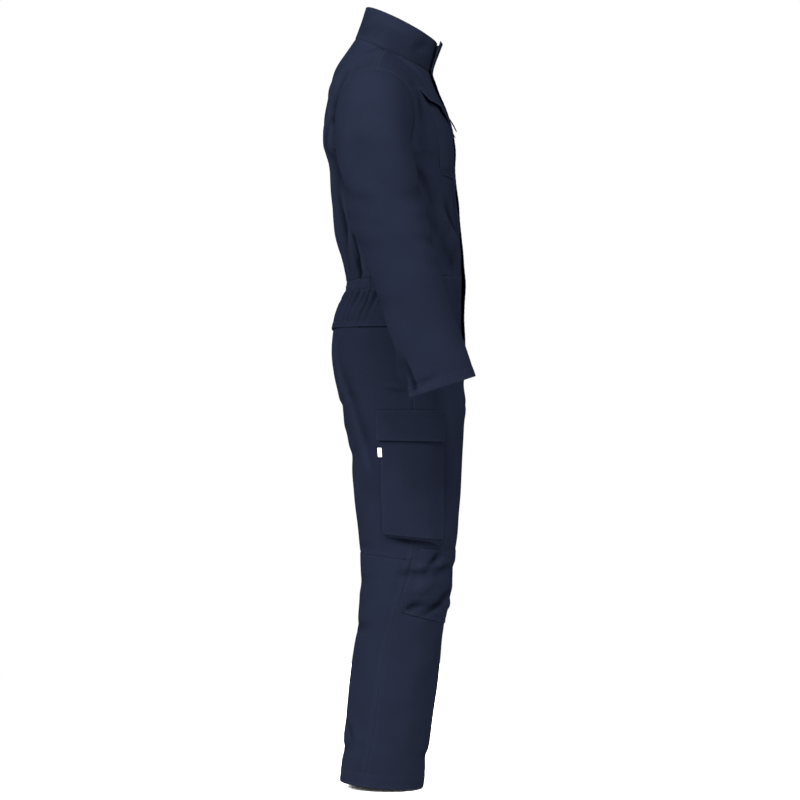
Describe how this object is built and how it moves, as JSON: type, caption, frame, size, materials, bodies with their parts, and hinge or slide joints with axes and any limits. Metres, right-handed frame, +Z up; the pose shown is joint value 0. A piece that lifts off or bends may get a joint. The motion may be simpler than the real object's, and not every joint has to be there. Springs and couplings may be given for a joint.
{
  "type": "boiler suit",
  "caption": "Hollow navy boiler suit in its worn shape, with stand collar, covered front zip, set-in sleeves, elastic back waist, seat flap, and chest, cargo and knee pockets.",
  "frame": {"origin": "on the centre plane, level with the root of the neck, where the wearer's shoulders carry it", "axes": "+Z up, -Y the way the wearer faces, +X the wearer's left"},
  "size_m": [0.6822, 0.2913, 1.5316],
  "materials": {
    "navy_cloth": "matte twill",
    "zip_tape": "matte tape",
    "white_label": "satin woven tape"
  },
  "bodies": {
    "root": {"front_left": "navy_cloth", "front_right": "navy_cloth", "sleeve_left": "navy_cloth", "sleeve_right": "navy_cloth", "leg_front_left": "navy_cloth", "leg_front_right": "navy_cloth", "thigh_back_left": "navy_cloth", "thigh_back_right": "navy_cloth", "calf_back_left": "navy_cloth", "calf_back_right": "navy_cloth", "chest_pocket_left": "navy_cloth", "chest_pocket_right": "navy_cloth", "chest_flap_left": "navy_cloth", "chest_flap_right": "navy_cloth", "hip_welt_left": "navy_cloth", "hip_welt_right": "navy_cloth", "cargo_pocket_left": "navy_cloth", "cargo_pocket_right": "navy_cloth", "cargo_flap_left": "navy_cloth", "cargo_flap_right": "navy_cloth", "knee_pocket_left": "navy_cloth", "knee_pocket_right": "navy_cloth", "back": "navy_cloth", "collar": "navy_cloth", "zip": "zip_tape", "placket": "navy_cloth", "waist_casing": "navy_cloth", "seat_flap": "navy_cloth", "pocket_label": "white_label"}
  },
  "joints": []
}
